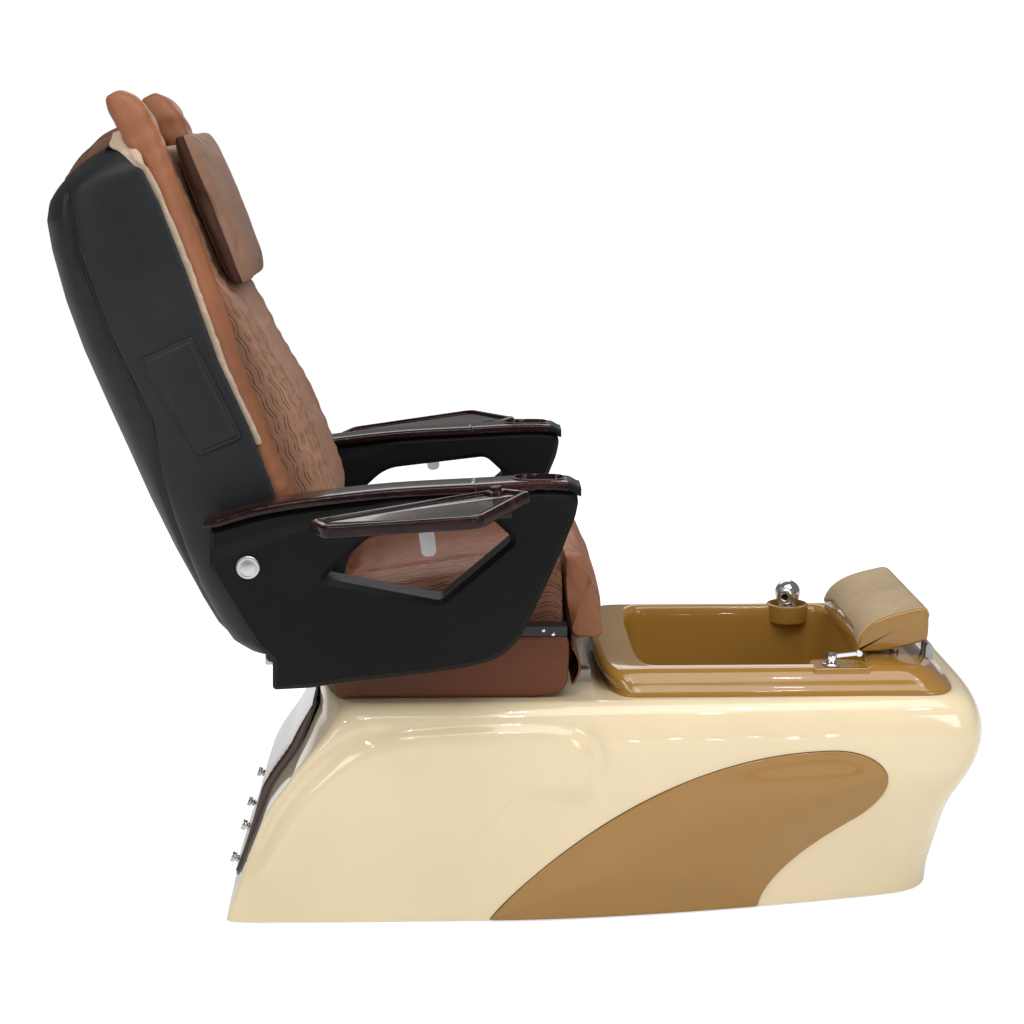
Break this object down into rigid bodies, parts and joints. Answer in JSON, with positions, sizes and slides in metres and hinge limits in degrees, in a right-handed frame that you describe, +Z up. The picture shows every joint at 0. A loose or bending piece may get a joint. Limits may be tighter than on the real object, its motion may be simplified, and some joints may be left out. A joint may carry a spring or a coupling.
{
  "type": "pedicure spa chair",
  "caption": "Reclining massage chair with swivel trays on a moulded footbath base: padded seat and back slide and tilt above a glossy basin with sprayer, valve, jet and flip-up footrest.",
  "frame": {"origin": "on the floor under the middle of the overall box, within half a percent of its diagonal", "axes": "+X forwards from the backrest to the footbath, +Y to the sitter's left, +Z up"},
  "size_m": [1.5839, 1.148, 1.3455],
  "materials": {
    "cream_gelcoat": "polished gel-coated shell",
    "tan_gelcoat": "polished gel-coated shell",
    "brown_leather": "satin, soft grain",
    "black_leather": "satin, soft grain",
    "cream_lining": "short pile",
    "black_plastic": "fine texture",
    "mahogany": "dark, piano-gloss lacquer",
    "door_brown": "glossy",
    "chrome": "polished",
    "frame_paint": "satin powder coat",
    "steel": "bright",
    "zinc_bracket": "plated",
    "rubber": "matt",
    "clear_plastic": "translucent",
    "white_plastic": "smooth",
    "plywood": "raw"
  },
  "bodies": {
    "base": {"base_shell": "cream_gelcoat", "side_inlays": "tan_gelcoat", "tub": "tan_gelcoat", "chassis": "frame_paint", "levelling_feet": "rubber", "slide_rails": "steel", "seat_actuator": "frame_paint", "door_seal": "rubber", "drain_fitting": "steel", "jet_motor": "black_plastic", "jet_cover": "tan_gelcoat", "sprayer_collar": "chrome", "valve_base": "chrome", "footrest_hinge": "zinc_bracket"},
    "door": {"rear_door": "door_brown", "door_knobs": "chrome"},
    "stopper": {"drain_stopper": "chrome"},
    "impeller": {"jet_impeller": "white_plastic"},
    "sprayer": {"sprayer_head": "chrome"},
    "turret": {"valve_turret": "chrome"},
    "lever": {"valve_lever": "chrome"},
    "footrest": {"footrest_shell": "tan_gelcoat", "footrest_cover": "brown_leather"},
    "carriage": {"runners": "steel", "carriage_frame": "frame_paint", "seat_actuator_rod": "steel", "recline_actuator": "frame_paint", "seat_pan": "plywood", "seat_cushion": "brown_leather", "front_cushion": "brown_leather", "seat_skirts": "brown_leather", "arm_bolts": "chrome"},
    "recline_pusher": {"recline_rod": "steel"},
    "back": {"back_frame": "frame_paint", "back_shell": "black_leather", "back_pad": "brown_leather", "bolster_right": "brown_leather", "bolster_left": "brown_leather", "back_liner": "cream_lining", "head_pillow": "brown_leather", "cover_flap": "brown_leather", "back_pockets": "black_leather", "massage_rails": "steel"},
    "massage_unit": {"massage_carriage": "black_plastic"},
    "roller_right": {"roller_right": "white_plastic"},
    "roller_left": {"roller_left": "white_plastic"},
    "arm_right": {"arm_outer_cover_right": "black_plastic", "arm_inner_cover_right": "black_plastic", "arm_cap_right": "mahogany", "cup_holder_right": "mahogany", "tray_hinge_right": "black_plastic"},
    "tray_right": {"tray_right": "mahogany"},
    "latch_right": {"tray_latch_right": "clear_plastic"},
    "arm_left": {"arm_outer_cover_left": "black_plastic", "arm_inner_cover_left": "black_plastic", "arm_cap_left": "mahogany", "cup_holder_left": "mahogany", "tray_hinge_left": "black_plastic"},
    "tray_left": {"tray_left": "mahogany"},
    "latch_left": {"tray_latch_left": "clear_plastic"}
  },
  "joints": [
    {"name": "seat_slide", "type": "slide", "parent": "base", "child": "carriage", "axis": [1, 0, 0], "range_m": [-0.15, 0]},
    {"name": "back_recline", "type": "hinge", "parent": "carriage", "child": "back", "pos_m": [-0.39, 0, 0.48], "axis": [0, -1, 0], "range_deg": [0, 35]},
    {"name": "recline_push", "type": "slide", "parent": "carriage", "child": "recline_pusher", "axis": [1, 0, 0], "range_m": [0, 0.058]},
    {"name": "massage_lift", "type": "slide", "parent": "back", "child": "massage_unit", "axis": [-0.3007, 0, 0.9537], "range_m": [0, 0.36]},
    {"name": "roller_right_spin", "type": "hinge", "parent": "massage_unit", "child": "roller_right", "pos_m": [-0.46217, -0.057, 0.70889], "axis": [0, 1, 0], "continuous": true},
    {"name": "roller_left_spin", "type": "hinge", "parent": "massage_unit", "child": "roller_left", "pos_m": [-0.46217, 0.057, 0.70889], "axis": [0, 1, 0], "continuous": true},
    {"name": "footrest_flip", "type": "hinge", "parent": "base", "child": "footrest", "pos_m": [0.712, 0, 0.416], "axis": [0, 1, 0], "range_deg": [0, 100]},
    {"name": "valve_swivel", "type": "hinge", "parent": "base", "child": "turret", "pos_m": [0.53, -0.228, 0.4106], "axis": [0, 0, 1], "range_deg": [-45, 45]},
    {"name": "valve_lift", "type": "hinge", "parent": "turret", "child": "lever", "pos_m": [0.53, -0.228, 0.4211], "axis": [0, -1, 0], "range_deg": [0, 20]},
    {"name": "sprayer_lift", "type": "slide", "parent": "base", "child": "sprayer", "axis": [0, 0, 1], "range_m": [0, 0.25]},
    {"name": "jet_spin", "type": "hinge", "parent": "base", "child": "impeller", "pos_m": [0.219, 0, 0.221], "axis": [1, 0, 0], "continuous": true},
    {"name": "stopper_lift", "type": "slide", "parent": "base", "child": "stopper", "axis": [0, 0, 1], "range_m": [0, 0.01]},
    {"name": "rear_door_open", "type": "hinge", "parent": "base", "child": "door", "pos_m": [-0.343, 0, 0.334], "axis": [0, 1, 0], "range_deg": [0, 55]},
    {"name": "arm_lift_right", "type": "hinge", "parent": "carriage", "child": "arm_right", "pos_m": [-0.429, -0.3125, 0.605], "axis": [0, -1, 0], "range_deg": [0, 50]},
    {"name": "tray_swivel_right", "type": "hinge", "parent": "arm_right", "child": "tray_right", "pos_m": [-0.035, -0.37, 0.732], "axis": [-0.1071, 0, 0.9942], "range_deg": [0, 50]},
    {"name": "tray_latch_turn_right", "type": "hinge", "parent": "tray_right", "child": "latch_right", "pos_m": [-0.14505, -0.404, 0.67991], "axis": [-0.1071, 0, 0.9942], "range_deg": [0, 90]},
    {"name": "arm_lift_left", "type": "hinge", "parent": "carriage", "child": "arm_left", "pos_m": [-0.429, 0.3125, 0.605], "axis": [0, -1, 0], "range_deg": [0, 50]},
    {"name": "tray_swivel_left", "type": "hinge", "parent": "arm_left", "child": "tray_left", "pos_m": [-0.035, 0.37, 0.732], "axis": [0.1071, 0, -0.9942], "range_deg": [0, 50]},
    {"name": "tray_latch_turn_left", "type": "hinge", "parent": "tray_left", "child": "latch_left", "pos_m": [-0.14505, 0.404, 0.67991], "axis": [-0.1071, 0, 0.9942], "range_deg": [0, 90]}
  ],
  "couplings": [
    {"joint": "recline_push", "follows": "back_recline", "m_per_rad": 0.09353}
  ]
}
